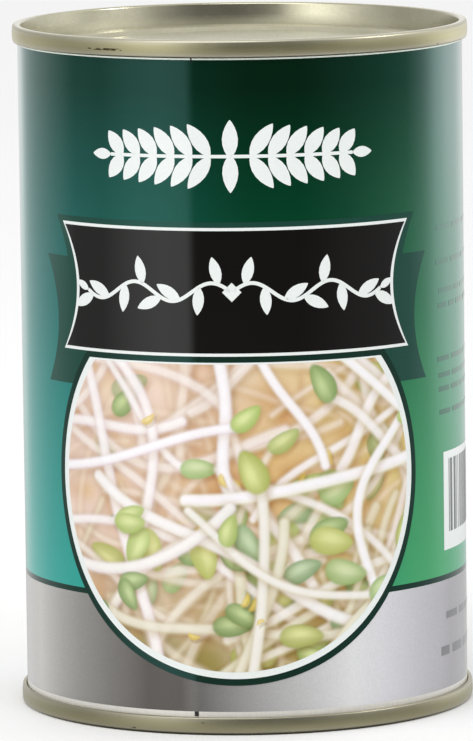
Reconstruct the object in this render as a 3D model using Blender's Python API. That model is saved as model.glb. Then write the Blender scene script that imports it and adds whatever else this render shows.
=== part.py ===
"""A sealed food can of bean sprouts: a welded tinplate body closed by two double-seamed ends.

The can stands on its lower seam. The origin is the centre of its footprint and +Z is up, in metres.
Every piece is turned about the Z axis from a half section, so each one is a closed ring or disc.
The sheet pieces follow a bent centreline, with the plate's thickness laid off half to each side of it.
"""

import math

import bmesh
import bpy
from mathutils import Matrix, Vector

MM = 0.001
FACETS = 64  # flats round each turned piece, in step on all of them so that thin gaps stay even

# Driving dimensions of a 300 x 407 can
CAN_HEIGHT = 112.7 * MM  # over both seams, 4 7/16 inches
SEAM_RADIUS = 37.5 * MM  # outside of the double seam
SEAM_LENGTH = 3.0 * MM  # from the crown of the seam to its lower edge
BODY_PLATE = 0.18 * MM
END_PLATE = 0.20 * MM
LAP_GAP = 0.10 * MM  # between the laps of the seam, where the real one holds a film of compound

# The five laps of the double seam, by the radius of each one's centreline, from the outside in
SEAMING_WALL = SEAM_RADIUS - END_PLATE / 2
BODY_HOOK = SEAMING_WALL - END_PLATE / 2 - LAP_GAP - BODY_PLATE / 2
COVER_HOOK = BODY_HOOK - BODY_PLATE / 2 - LAP_GAP - END_PLATE / 2
BODY_WALL = COVER_HOOK - END_PLATE / 2 - LAP_GAP - BODY_PLATE / 2
CHUCK_WALL = BODY_WALL - BODY_PLATE / 2 - LAP_GAP - END_PLATE / 2
BODY_HOOK_BEND = (BODY_HOOK - BODY_WALL) / 2
COVER_HOOK_BEND = (SEAMING_WALL - COVER_HOOK) / 2

# Depths below the crown of the seam
BODY_HOOK_TOP = 0.84 * MM
BODY_HOOK_END = 2.35 * MM
COVER_HOOK_END = 1.25 * MM
OUTER_CROWN_BEND = 0.40 * MM
INNER_CROWN_BEND = 0.30 * MM
COUNTERSINK_DEPTH = 5.15 * MM  # lowest point of the groove at the foot of the chuck wall
PANEL_RING_DEPTH = 3.50 * MM  # raised ring round the panel
PANEL_DEPTH = 4.15 * MM  # centre panel

# Radii across the end
COUNTERSINK_OUTER = 35.72 * MM
COUNTERSINK_INNER = 34.70 * MM
COUNTERSINK_BEND = 0.45 * MM
PANEL_RING_OUTER = 34.40 * MM
PANEL_RING_INNER = 29.50 * MM
PANEL_RADIUS = 28.60 * MM
PANEL_BEND = 0.40 * MM

# Sealing compound in the pocket over the body hook
COMPOUND_INNER = 36.68 * MM
COMPOUND_OUTER = 36.96 * MM
COMPOUND_TOP = 0.30 * MM
COMPOUND_FOOT = 0.65 * MM

# Contents, packed to a headspace under the upper end
FILL_GAP = 0.30 * MM
FILL_HEADSPACE = 6.0 * MM

BEND_STEPS = 2  # straight steps in each quarter bend of the plate
PANEL_BEND_STEPS = 1
WELD_DISTANCE = 1e-7


def clear_scene():
    """Removes whatever the scene holds."""
    for old in list(bpy.data.objects):
        bpy.data.objects.remove(old)


def painted(name, colour, roughness, metallic):
    """A Principled material of one linear colour."""
    material = bpy.data.materials.new(name)
    material.use_nodes = True
    shader = material.node_tree.nodes["Principled BSDF"]
    shader.inputs["Base Color"].default_value = (*colour, 1.0)
    shader.inputs["Roughness"].default_value = roughness
    shader.inputs["Metallic"].default_value = metallic
    return material


def bend(before, corner, after, radius, steps):
    """Points along the arc of that radius that rounds the corner between two straight runs."""
    come = (corner - before).normalized()
    go = (after - corner).normalized()
    turn = math.atan2(come.x * go.y - come.y * go.x, come.dot(go))
    start = corner - come * radius * math.tan(abs(turn) / 2)
    side = Vector((-come.y, come.x)) * math.copysign(radius, turn)
    centre = start + side
    return [centre + Matrix.Rotation(turn * k / steps, 2) @ (start - centre) for k in range(steps + 1)]


def centreline(corners):
    """The points of a bent path. Each corner is (radius, height), or has its bend radius and steps too."""
    places = [Vector(corner[:2]) for corner in corners]
    path = []
    for index, corner in enumerate(corners):
        if len(corner) == 2:
            points = [places[index]]
        else:
            points = bend(places[index - 1], places[index], places[index + 1], *corner[2:])
        path += [p for p in points if not path or (p - path[-1]).length > WELD_DISTANCE]
    return path


def offset(path, distance):
    """The path moved sideways by a distance, with mitred corners."""
    runs = [(b - a).normalized() for a, b in zip(path, path[1:])]
    moved = []
    for index, point in enumerate(path):
        come = runs[max(index - 1, 0)]
        go = runs[min(index, len(runs) - 1)]
        middle = (come + go).normalized()
        reach = distance / middle.dot(go)
        moved.append(point + Vector((-middle.y, middle.x)) * reach)
    return moved


def plate_section(path, thickness):
    """The outline of a bent plate round its centreline."""
    return offset(path, thickness / 2) + offset(path, -thickness / 2)[::-1]


def turned(name, section, on_axis, material):
    """A solid of revolution. A section on the axis starts and ends there. Any other is a closed loop."""
    mesh = bpy.data.meshes.new(name)
    shape = bmesh.new()
    points = [shape.verts.new((p.x, 0.0, p.y)) for p in section]
    ends = points[1:] if on_axis else points[1:] + points[:1]
    edges = [shape.edges.new(pair) for pair in zip(points, ends)]
    bmesh.ops.spin(
        shape,
        geom=points + edges,
        cent=(0, 0, 0),
        axis=(0, 0, 1),
        dvec=(0, 0, 0),
        angle=math.tau,
        steps=FACETS,
        use_merge=True,
    )
    bmesh.ops.remove_doubles(shape, verts=shape.verts, dist=WELD_DISTANCE)
    bmesh.ops.recalc_face_normals(shape, faces=shape.faces)
    shape.to_mesh(mesh)
    shape.free()
    mesh.shade_smooth()
    mesh.set_sharp_from_angle(angle=math.radians(35))
    mesh.materials.append(material)
    return mesh


def place(name, mesh, height=0.0, turned_over=False):
    """A named object of that mesh, upright or turned over about the X axis."""
    piece = bpy.data.objects.new(name, mesh)
    piece.location = (0.0, 0.0, height)
    piece.rotation_euler = (math.pi if turned_over else 0.0, 0.0, 0.0)
    bpy.context.scene.collection.objects.link(piece)
    return piece


def body_section():
    """The can wall with a hook rolled outwards and back at each end."""
    hook = [BODY_HOOK_BEND, BEND_STEPS]
    foot = [
        (BODY_HOOK, BODY_HOOK_END),
        (BODY_HOOK, BODY_HOOK_TOP, *hook),
        (BODY_WALL, BODY_HOOK_TOP, *hook),
    ]
    head = [(corner[0], CAN_HEIGHT - corner[1], *corner[2:]) for corner in foot[::-1]]
    return plate_section(centreline(foot + head), BODY_PLATE)


def end_section():
    """Half of a can end, from its hidden hook to the middle of its panel, with its crown at height 0."""
    lower_edge = END_PLATE / 2 - SEAM_LENGTH
    hook = [COVER_HOOK_BEND, BEND_STEPS]
    groove = [COUNTERSINK_BEND, BEND_STEPS]
    panel = [PANEL_BEND, PANEL_BEND_STEPS]
    corners = [
        (COVER_HOOK, -COVER_HOOK_END),
        (COVER_HOOK, lower_edge, *hook),
        (SEAMING_WALL, lower_edge, *hook),
        (SEAMING_WALL, -END_PLATE / 2, OUTER_CROWN_BEND, BEND_STEPS),
        (CHUCK_WALL, -END_PLATE / 2, INNER_CROWN_BEND, BEND_STEPS),
        (COUNTERSINK_OUTER, END_PLATE / 2 - COUNTERSINK_DEPTH, *groove),
        (COUNTERSINK_INNER, END_PLATE / 2 - COUNTERSINK_DEPTH, *groove),
        (PANEL_RING_OUTER, -END_PLATE / 2 - PANEL_RING_DEPTH, *panel),
        (PANEL_RING_INNER, -END_PLATE / 2 - PANEL_RING_DEPTH, *panel),
        (PANEL_RADIUS, -END_PLATE / 2 - PANEL_DEPTH, *panel),
        (0.0, -END_PLATE / 2 - PANEL_DEPTH),
    ]
    return plate_section(centreline(corners)[::-1], END_PLATE)


def compound_section():
    """The ring of sealing compound that fills the pocket over the body hook."""
    return [
        Vector((COMPOUND_INNER, -COMPOUND_FOOT)),
        Vector((COMPOUND_OUTER, -COMPOUND_FOOT)),
        Vector((COMPOUND_OUTER, -COMPOUND_TOP)),
        Vector((COMPOUND_INNER, -COMPOUND_TOP)),
    ]


def contents_section():
    """Half of the sprouts and their brine as one body, stepped over the lower end's panel and groove."""
    fill_radius = BODY_WALL - BODY_PLATE / 2 - FILL_GAP
    fill_top = CAN_HEIGHT - PANEL_DEPTH - END_PLATE - FILL_HEADSPACE
    over_panel = PANEL_DEPTH + END_PLATE + FILL_GAP
    over_ring = PANEL_RING_DEPTH + END_PLATE + FILL_GAP
    over_groove = COUNTERSINK_DEPTH + FILL_GAP
    ring_outer = PANEL_RING_OUTER - END_PLATE - FILL_GAP - PANEL_BEND
    corners = (
        (0.0, over_panel),
        (PANEL_RADIUS, over_panel),
        (PANEL_RING_INNER, over_ring),
        (ring_outer - FILL_GAP, over_ring),
        (ring_outer, over_groove),
        (fill_radius, over_groove),
        (fill_radius, fill_top),
        (0.0, fill_top),
    )
    return [Vector(corner) for corner in corners]


def build_can():
    """Makes every piece of the can, where it stands."""
    tinplate = painted("printed_tinplate", (0.02, 0.16, 0.10), 0.25, 0.6)
    gold = painted("gold_lacquered_tinplate", (0.42, 0.37, 0.22), 0.28, 1.0)
    rubber = painted("sealing_compound", (0.30, 0.30, 0.28), 0.8, 0.0)
    food = painted("sprouts_and_brine", (0.72, 0.66, 0.42), 0.4, 0.0)

    place("can_body", turned("can_body", body_section(), False, tinplate))
    place("sprouts_in_brine", turned("sprouts_in_brine", contents_section(), True, food))

    end = turned("can_end", end_section(), True, gold)
    place("top_end", end, CAN_HEIGHT)
    place("bottom_end", end, turned_over=True)

    compound = turned("compound_ring", compound_section(), False, rubber)
    place("top_sealing_ring", compound, CAN_HEIGHT)
    place("bottom_sealing_ring", compound, turned_over=True)


clear_scene()
build_can()
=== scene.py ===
"""The looks of a sealed food can of bean sprouts, built round its packed construction model.

The can is a lithographed three-piece tinplate can. Its wall is printed flat, rolled, welded and closed with two
double-seamed ends. Every piece is modelled in metres, upright on its lower seam, with the label's front towards -Y.
The print is worked out on the flat sheet, as millimetres along the wall (s) and up the can (z), and then rolled.
"""

import math
import random

import bmesh
import bpy
import numpy as np
from bpy.props import FloatProperty, FloatVectorProperty, IntProperty, PointerProperty
from mathutils import Euler, Matrix, Vector


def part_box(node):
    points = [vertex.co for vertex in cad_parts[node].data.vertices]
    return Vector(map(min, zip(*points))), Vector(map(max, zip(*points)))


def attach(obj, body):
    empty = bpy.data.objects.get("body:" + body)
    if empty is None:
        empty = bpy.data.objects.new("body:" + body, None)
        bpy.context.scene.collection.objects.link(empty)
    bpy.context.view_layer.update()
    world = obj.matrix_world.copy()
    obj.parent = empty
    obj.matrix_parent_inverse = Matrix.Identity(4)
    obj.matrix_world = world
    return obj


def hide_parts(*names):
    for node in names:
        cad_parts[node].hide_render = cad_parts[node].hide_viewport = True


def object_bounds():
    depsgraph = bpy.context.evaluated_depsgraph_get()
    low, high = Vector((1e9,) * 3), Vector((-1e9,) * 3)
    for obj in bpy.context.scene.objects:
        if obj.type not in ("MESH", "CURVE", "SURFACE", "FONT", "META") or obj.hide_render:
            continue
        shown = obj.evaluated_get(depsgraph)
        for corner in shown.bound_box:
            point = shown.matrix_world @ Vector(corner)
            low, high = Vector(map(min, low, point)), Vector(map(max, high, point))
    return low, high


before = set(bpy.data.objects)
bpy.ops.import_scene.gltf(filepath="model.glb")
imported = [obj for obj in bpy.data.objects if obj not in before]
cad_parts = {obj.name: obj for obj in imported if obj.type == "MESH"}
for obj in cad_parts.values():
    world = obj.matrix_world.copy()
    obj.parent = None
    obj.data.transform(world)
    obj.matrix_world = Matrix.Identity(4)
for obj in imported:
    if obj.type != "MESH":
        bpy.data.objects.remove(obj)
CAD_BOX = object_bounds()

bl_info = {
    "name": "Food Can of Bean Sprouts",
    "version": (1, 0, 0),
    "blender": (4, 5, 0),
    "location": "3D View > Sidebar > Food Can",
    "description": "Makes a printed, double-seamed steel food can piece by piece",
    "category": "Add Mesh",
}

MM = 0.001
IMAGE_HEIGHT_PX = 741
SENSOR = 36.0  # mm, on the image's long side
SHARP_ANGLE = math.radians(35)
WELD_DISTANCE = 1e-7
SHEET_WELD_MM = 1e-4
STRIP_MM = 1.2  # width of the flat strips that follow the wall's curve
INK_FILL = 0.6  # how much of its step up from the layer below each layer of ink fills
PICTURE_LAYER = 5
SHEET_BACK = -1.0  # marks the back of the picture's sheet until its layer is given


def frame_sizes():
    """The can's height, its seam radius and its hook radius, as the construction model has them."""
    low, high = CAD_BOX
    body_low, body_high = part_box("can_body")
    return high[2] - low[2], (high[0] - low[0]) / 2, (body_high[0] - body_low[0]) / 2


CAN_HEIGHT, SEAM_RADIUS, HOOK_RADIUS = frame_sizes()


def srgb(code, alpha=1.0):
    """An sRGB hex colour as linear red, green, blue and alpha."""
    parts = [int(code[k : k + 2], 16) / 255 for k in (1, 3, 5)]
    linear = [c / 12.92 if c <= 0.04045 else ((c + 0.055) / 1.055) ** 2.4 for c in parts]
    return (*linear, alpha)


def length(name, millimetres, description):
    """A property that holds a size, with its default in millimetres."""
    return FloatProperty(name=name, description=description, default=millimetres * MM, unit="LENGTH", precision=5)


def ink(name, code, description):
    """A property that holds a colour, with its default as an sRGB hex code."""
    return FloatVectorProperty(name=name, description=description, default=srgb(code)[:3], subtype="COLOR")


class CanSizes(bpy.types.PropertyGroup):
    """The tinsmith's sizes. The outer ones come from the construction model."""

    height: FloatProperty(name="Height", description="Over both seams", default=CAN_HEIGHT, unit="LENGTH")
    seam_radius: FloatProperty(name="Seam radius", description="Outside", default=SEAM_RADIUS, unit="LENGTH")
    hook_radius: FloatProperty(name="Hook radius", description="Of the body hook", default=HOOK_RADIUS, unit="LENGTH")
    seam_length: length("Seam length", 2.9, "From the seam's crown to its lower edge")
    seam_bulge: length("Seam bulge", 0.102, "How far the seam's wall draws in towards its edges")
    seam_round: length("Seam round", 8.2, "Radius of the seam wall's barrel shape")
    body_plate: length("Body plate", 0.18, "Thickness of the body's tinplate")
    end_plate: length("End plate", 0.20, "Thickness of the ends' tinplate")
    lap_gap: length("Lap gap", 0.10, "Between the laps of the seam")
    hook_top: length("Body hook top", 0.84, "Depth of the body hook's bend below the crown")
    hook_end: length("Body hook end", 2.35, "Depth of the body hook's edge below the crown")
    cover_hook_end: length("Cover hook end", 1.25, "Depth of the cover hook's edge below the crown")
    outer_bend: length("Outer crown bend", 0.40, "Radius of the crown's outer bend")
    inner_bend: length("Inner crown bend", 0.30, "Radius of the crown's inner bend")
    groove_depth: length("Countersink depth", 5.15, "Lowest point of the groove round the panel")
    groove_outer: length("Countersink outer radius", 35.72, "Foot of the chuck wall")
    groove_inner: length("Countersink inner radius", 34.70, "Foot of the panel's wall")
    groove_bend: length("Countersink bend", 0.45, "Radius of the bends in the groove")
    ring_depth: length("Ring depth", 3.50, "Depth of the raised ring round the panel")
    ring_outer: length("Ring outer radius", 34.40, "Outer edge of the raised ring")
    ring_inner: length("Ring inner radius", 29.50, "Inner edge of the raised ring")
    panel_depth: length("Panel depth", 4.15, "Depth of the centre panel")
    panel_radius: length("Panel radius", 28.60, "Edge of the centre panel")
    panel_bend: length("Panel bend", 0.40, "Radius of the panel's bends")
    facets: IntProperty(name="Facets", description="Flats round each turned piece", default=192, min=24)
    bend_steps: IntProperty(name="Bend steps", description="Straight steps in each bend", default=5, min=1)


class LabelSizes(bpy.types.PropertyGroup):
    """Where the print lies on the flat sheet, with s along the wall and z up the can."""

    centre: length("Panel centre", -1.75, "Middle of the front panel along the wall")
    silver_top: length("Silver band top", 21.7, "Height of the silver band's upper edge")
    line_top: length("Border line top", 22.6, "Height of the dark line's upper edge")
    lower_margin: length("Lower bare margin", 3.74, "Height up to which the plate is left bare")
    upper_margin: length("Upper bare margin", 109.5, "Height from which the plate is left bare")
    plaque_width: length("Plaque half width", 31.6, "From the middle to a corner")
    plaque_low: length("Plaque bottom", 61.7, "Height of the plaque's lower edge")
    plaque_high: length("Plaque top", 82.5, "Height of the plaque's upper edge")
    plaque_dish: length("Plaque dish", 3.35, "How far the plaque's ends curve in")
    outline: length("Outline", 0.5, "Width of the plaque's white outline")
    shade_reach: length("Shade reach", 1.7, "How far the near shade stands out beside the plaque")
    shade_drop: length("Shade drop", 1.0, "How far the near shade hangs below the plaque")
    shade_high: length("Shade top", 83.4, "Height of the near shade's upper edge")
    far_width: length("Far shade half width", 36.3, "From the middle to a corner of the far shade")
    far_low: length("Far shade bottom", 56.0, "Height of the far shade's lower edge")
    far_high: length("Far shade top", 76.75, "Height of the far shade's upper edge")
    far_dish: length("Far shade dish", 3.0, "How far the far shade's ends curve in")
    window_z: length("Window height", 41.25, "Height of the round window's centre")
    window_radius: length("Window radius", 31.0, "Radius of the picture")
    window_top: length("Window top", 60.4, "Height of the straight edge that cuts the picture")
    rim: length("Window rim", 1.1, "Width of the white rim round the picture")
    border: length("Window border", 1.1, "Width of the dark border round the rim")
    overlap: length("Overlap", 0.3, "How far the window's rings run on past its straight edge")
    garland_z: length("Garland height", 94.0, "Height of the leaf garland's stem")
    garland_width: length("Garland half width", 20.5, "From the middle to the stem's end")
    vine_width: length("Vine half width", 25.5, "From the middle to the vine's end")
    ink_step: length("Ink step", 0.02, "How far each layer of ink stands out from the one below, thicker than life")


class LabelInks(bpy.types.PropertyGroup):
    """The inks of the label."""

    black: ink("Black", "#0a0706", "The plaque")
    white: ink("White", "#e9eeec", "Outlines, ornaments and the window's rim")
    border: ink("Border green", "#12291f", "The window's border and the line over the silver band")
    shade: ink("Shade green", "#1d4237", "The shades behind the plaque")
    small_print: ink("Small print green", "#35614d", "The rows of bars on the green")


class PictureSettings(bpy.types.PropertyGroup):
    """How the picture of the sprouts in the window is drawn."""

    seed: IntProperty(name="Seed", description="Which heap of sprouts is drawn", default=21)
    columns: IntProperty(name="Columns", description="Cells across the window", default=290, min=20)
    rows: IntProperty(name="Rows", description="Cells up the window", default=322, min=20)
    stem_width: length("Stem width", 1.9, "Width of a sprout's stem as printed")
    leaf_length: length("Leaf length", 6.9, "Length of a seed leaf as printed")


class StageSettings(bpy.types.PropertyGroup):
    """The camera, the light tent and the lamps."""

    distance: length("Camera distance", 1190.83, "From the can's axis, along the floor")
    camera_height: length("Camera height", 214.11, "Above the floor")
    pitch: FloatProperty(name="Pitch", description="Looking down", default=0.1332, subtype="ANGLE")
    yaw: FloatProperty(name="Yaw", description="Turned to the left", default=0.001, subtype="ANGLE")
    roll: FloatProperty(name="Roll", description="Tilted about the line of sight", default=-0.0127, subtype="ANGLE")
    focal_px: FloatProperty(name="Focal length", description="In pixels of the 741 pixel high image", default=7249.0)
    ambient: FloatProperty(name="Ambient", description="Strength of the even light of the room", default=0.88)
    key_power: FloatProperty(name="Key light", description="Power of the softbox overhead", default=2.2, unit="POWER")
    glint_power: FloatProperty(name="Glint lamp", description="Power of the small lamp", default=1.1, unit="POWER")
    tent_radius: length("Tent radius", 1000.0, "Radius of the light tent round the can")


# The green fades upwards, by share of the can's height: on the left, in the middle and on the right of a panel
GREEN_LEFT = ((0.2, "#33a097"), (0.6, "#246b67"), (0.93, "#083529"))
GREEN_MIDDLE = ((0.2, "#308f6d"), (0.6, "#01492c"), (0.93, "#021d0a"))
GREEN_RIGHT = ((0.2, "#47a367"), (0.6, "#306e4b"), (0.93, "#003422"))
# How much of the left and of the right shade shows, by place across the panel
GREEN_LEFT_SHARE = (
    (0.16, 1.0), (0.25, 0.87), (0.30, 0.66), (0.36, 0.6), (0.41, 0.42), (0.46, 0.2), (0.53, 0.0), (0.86, 0.0),
    (0.95, 1.0),
)
GREEN_RIGHT_SHARE = (
    (0.0, 0.5), (0.05, 0.15), (0.1, 0.0), (0.6, 0.0), (0.67, 0.14), (0.725, 0.45), (0.78, 0.8), (0.86, 1.0),
    (0.94, 0.85), (1.0, 0.5),
)
# Painted highlight: the green is mixed with pale teal towards the can's sides, where two panels meet: between these
# distances from the panel's middle, by up to this share
SIDE_HIGHLIGHT_FROM, SIDE_HIGHLIGHT_TO, SIDE_HIGHLIGHT_SHARE = 0.32, 0.42, 0.065
GREEN_GLOSS = (0.42, 1.0, 0.95, 1.0)  # the colour of the gloss on green ink, seen straight on
PLAIN_GLOSS = (1.0, 1.0, 1.0, 1.0)
# The silver band by place across the panel: printed silver grey with a painted reflection, a pale, a dark and a bright
# part
SILVER_WITH_PAINTED_REFLECTION = (
    (0.0, "#9a9999"), (0.14, "#c5c3bf"), (0.37, "#56524e"), (0.42, "#54504c"), (0.67, "#efeff0"),
    (0.72, "#e8e7ec"), (0.88, "#adabb0"), (1.0, "#9a9999"),
)

# Wear on the lacquered ends, and the painted highlight on the seam's edges
SEAM_SKIN = 0.45 * MM  # the outside of the seam is what lies this close to its radius
# Painted highlight and wear: the seam turns paler between these distances from its middle
SEAM_SHEEN_AND_WEAR = (0.45 * MM, 1.25 * MM)  # from the middle of the seam's wall: where it starts and where it is full
SCUFF_DEPTHS = (1.8 * MM, 3.7 * MM)  # below the crown: where the chuck's scuffs start and where they are full
SCRAPE_ANGLE, SCRAPE_HALF_ANGLE = -0.62, 0.09  # round the can from its front, in radians
SCRAPE_DEPTH, SCRAPE_HALF_HEIGHT = 1.75 * MM, 0.17 * MM

# The painted heap: each tier's place from bottom to top, its count of sprouts and the share of them with leaves
HEAP_TIERS = ((0.0, 26, 0.2), (0.3, 24, 0.3), (0.6, 24, 0.5), (0.85, 19, 0.65), (1.0, 12, 0.7))
LOOSE_LEAVES, CRUMBS = 6, 4  # on each tier
LEAF_GREENS = (
    ("#d8e4b4", "#9ab873"),
    ("#c9dcb6", "#86a678"),
    ("#e2e6a0", "#b3bb62"),
    ("#c3d69a", "#7b9a5a"),
    ("#dfe8a6", "#a5bb66"),
)
STEM_SHADOW = np.array((0.55, 0.75, 1.0))  # how much red, green and blue a shadow takes
LEAF_SHADOW = np.array((0.6, 0.75, 1.0))

# The side panels on the flat sheet, in millimetres: from left to right, and their heights
BARS_SEED = 11
SHORTEST_BAR = 2.0
GREEN_ROWS = (80.0, 74.4, 69.6, 67.2, 58.4, 55.7, 53.4, 49.6)
GREEN_ROWS_START, GREEN_ROWS_END, GREEN_ROWS_RAGGED, GREEN_ROWS_TALL = 37.5, 68.0, 1.5, 0.8
BAND_ROWS = ((40.6, 15.8, 1.2), (38.7, 10.0, 1.5))  # each row's start, its height up the can and how tall it is
BAND_ROWS_END = 64.0
PATCH = (40.0, 26.6, 71.0, 42.9)
BAR_SPAN, BAR_LOW, BAR_HIGH = (42.0, 68.6), 29.5, 41.6
TABLE_LEFT, TABLE_RIGHT, TABLE_LOW, TABLE_HIGH = -79.6, -66.6, 32.0, 62.5
TABLE_ROWS, TABLE_PITCH, TABLE_LINE = 10, 3.4, 0.25
TABLE_UPRIGHTS = (-79.6, -72.2, -66.85)
MARGIN_SPAN, WELD_SPAN = (-65.0, -57.5), (-61.7, -60.8)
LOWER_MARK, UPPER_MARK, UPPER_MARK_REACH = (-8.7, -8.0), (-8.0, -7.75), 0.35
SEAM_CLEARANCE = 0.05

# The light tent's cloth by degrees round it to the right of the camera, at its foot, beside the can and above it
TENT_FOOT = (
    (-180, 0.7), (-169, 0.65), (-156, 0.9), (-131, 0.8), (-119, 0.65), (-106, 0.5), (-94, 0.4), (-75, 0.5),
    (-56, 0.95), (-42, 1.15), (-28, 1.1), (-24, 0.2), (0, 0.22), (28, 0.2), (37, 0.22), (56, 0.3), (75, 0.33),
    (94, 0.42), (106, 0.5), (119, 0.7), (144, 0.8), (169, 0.7), (180, 0.7),
)
TENT_SIDES = (
    (-180, 0.9), (-169, 1.05), (-156, 1.45), (-144, 1.05), (-131, 1), (-119, 1.05), (-106, 0.8), (-94, 0.4),
    (-75, 0.45), (-56, 0.97), (-42, 1.2), (-28, 1.15), (-24, 0.12), (0, 0.1), (28, 0.09), (37, 0.13), (56, 0.26),
    (75, 0.33), (94, 0.45), (106, 1.1), (119, 2.2), (131, 2.2), (144, 1.6), (156, 1.4), (169, 0.9), (180, 0.9),
)
TENT_TOP = (
    (-180, 1.12), (-140, 0.72), (-115, 0.58), (-97, 0.52), (-70, 0.85), (-52, 1.7), (-42, 2.2), (-34, 1.65),
    (-27, 1.05), (-22, 0.32), (0, 0.16), (23, 0.2), (37, 0.34), (50, 0.62), (65, 1.05), (92, 0.85), (106, 1.2),
    (140, 0.9), (180, 1.12),
)
# Each of them with the heights in metres between which it takes over from the one below
TENT_BANDS = ((TENT_FOOT, -0.26, -0.19), (TENT_SIDES, -0.14, 0.0), (TENT_TOP, 0.03, 0.15))
# Below them, by height in metres: the pale table, brightest far from the can and dark in the shadow right under it
TENT_FLOOR = ((-1.0, 0.06), (-0.72, 0.12), (-0.52, 0.4), (-0.42, 0.6), (-0.34, 1.15), (-0.27, 0.8))
# The pale table is brighter before the can: the middle of that part, how far it reaches and fades, in radians
FRONT_MIDDLE, FRONT_FADE, FRONT_GAIN = 0.45, (0.5, 1.3), 1.6
TENT_GAIN = 4.0  # strength of the cloth at level 1, so that the brightest level stays under 1
TENT_DEPTH, TENT_MIDDLE, TENT_SEGMENTS = 2.2, 0.1, 128
FLOOR_REACH = 6.0  # from the can to the floor's edge
SOFTBOX_PLACE, SOFTBOX_TARGET = (-0.15, -0.45, 0.85), (0, 0, 0.06)
GLINT_PLACE, GLINT_TARGET = (0.684, -0.14, 0.528), (0, 0, 0.11)


def bend(before, corner, after, radius, steps):
    """Points along the arc of that radius that rounds the corner between two straight runs."""
    come = (corner - before).normalized()
    go = (after - corner).normalized()
    turn = math.atan2(come.x * go.y - come.y * go.x, come.dot(go))
    start = corner - come * radius * math.tan(abs(turn) / 2)
    centre = start + Vector((-come.y, come.x)) * math.copysign(radius, turn)
    return [centre + Matrix.Rotation(turn * k / steps, 2) @ (start - centre) for k in range(steps + 1)]


def centreline(corners, steps):
    """The points of a bent path. Each corner is (radius, height), or has its bend radius too."""
    places = [Vector(corner[:2]) for corner in corners]
    path = []
    for index, corner in enumerate(corners):
        if len(corner) == 2:
            points = [places[index]]
        else:
            points = bend(places[index - 1], places[index], places[index + 1], corner[2], steps)
        path += [p for p in points if not path or (p - path[-1]).length > WELD_DISTANCE]
    return path


def offset(path, distance):
    """The path moved sideways by a distance, with mitred corners."""
    runs = [(b - a).normalized() for a, b in zip(path, path[1:])]
    moved = []
    for index, point in enumerate(path):
        come = runs[max(index - 1, 0)]
        go = runs[min(index, len(runs) - 1)]
        middle = (come + go).normalized()
        moved.append(point + Vector((-middle.y, middle.x)) * (distance / middle.dot(go)))
    return moved


def plate_section(path, thickness):
    """The outline of a bent plate round its centreline."""
    return offset(path, thickness / 2) + offset(path, -thickness / 2)[::-1]


def finish_piece(name, shape, materials, stands_for=None):
    """Turns a bmesh into a finished piece that rides on the can."""
    bmesh.ops.recalc_face_normals(shape, faces=shape.faces)
    mesh = bpy.data.meshes.new(name)
    shape.to_mesh(mesh)
    shape.free()
    mesh.shade_smooth()
    mesh.set_sharp_from_angle(angle=SHARP_ANGLE)
    for material in materials:
        mesh.materials.append(material)
    piece = bpy.data.objects.new(name, mesh)
    bpy.context.scene.collection.objects.link(piece)
    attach(piece, "root")
    if stands_for:
        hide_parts(stands_for)
    return piece


def turned(section, on_axis, facets):
    """A solid of revolution about Z. A section on the axis starts and ends there. Any other is a closed loop."""
    shape = bmesh.new()
    points = [shape.verts.new((p.x, 0.0, p.y)) for p in section]
    ends = points[1:] if on_axis else points[1:] + points[:1]
    edges = [shape.edges.new(pair) for pair in zip(points, ends)]
    bmesh.ops.spin(
        shape,
        geom=points + edges,
        cent=(0, 0, 0),
        axis=(0, 0, 1),
        dvec=(0, 0, 0),
        angle=math.tau,
        steps=facets,
        use_merge=True,
    )
    bmesh.ops.remove_doubles(shape, verts=shape.verts, dist=WELD_DISTANCE)
    return shape


def seam_laps(sizes):
    """Radii of the centrelines of the seam's laps: seaming wall, body hook, cover hook, body wall, chuck wall."""
    seaming_wall = sizes.seam_radius - sizes.end_plate / 2
    body_hook = sizes.hook_radius - sizes.body_plate / 2
    step = (sizes.body_plate + sizes.end_plate) / 2 + sizes.lap_gap
    return seaming_wall, body_hook, body_hook - step, body_hook - 2 * step, body_hook - 3 * step


def wall_radius(sizes):
    """Outside radius of the printed wall."""
    return seam_laps(sizes)[3] + sizes.body_plate / 2


def body_section(sizes):
    """The can wall with a hook rolled outwards and back at each end."""
    _, body_hook, _, body_wall, _ = seam_laps(sizes)
    radius = (body_hook - body_wall) / 2
    foot = [
        (body_hook, sizes.hook_end),
        (body_hook, sizes.hook_top, radius),
        (body_wall, sizes.hook_top, radius),
    ]
    head = [(corner[0], sizes.height - corner[1], *corner[2:]) for corner in foot[::-1]]
    return plate_section(centreline(foot + head, sizes.bend_steps), sizes.body_plate)


def end_section(sizes):
    """Half of a can end, from its hidden hook to the middle of its panel, with its crown at height 0."""
    seaming_wall, _, cover_hook, _, chuck_wall = seam_laps(sizes)
    half = sizes.end_plate / 2
    lower_edge = half - sizes.seam_length
    outer_edge = seaming_wall - sizes.seam_bulge
    hook = (outer_edge - cover_hook) / 2
    corners = [
        (cover_hook, -sizes.cover_hook_end),
        (cover_hook, lower_edge, hook),
        (outer_edge, lower_edge, hook),
        (seaming_wall + 0.59 * sizes.seam_bulge, (lower_edge - half) / 2, sizes.seam_round),
        (outer_edge, -half, sizes.outer_bend),
        (chuck_wall, -half, sizes.inner_bend),
        (sizes.groove_outer, half - sizes.groove_depth, sizes.groove_bend),
        (sizes.groove_inner, half - sizes.groove_depth, sizes.groove_bend),
        (sizes.ring_outer, -half - sizes.ring_depth, sizes.panel_bend),
        (sizes.ring_inner, -half - sizes.ring_depth, sizes.panel_bend),
        (sizes.panel_radius, -half - sizes.panel_depth, sizes.panel_bend),
        (0.0, -half - sizes.panel_depth),
    ]
    return plate_section(centreline(corners, sizes.bend_steps)[::-1], sizes.end_plate)


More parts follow.
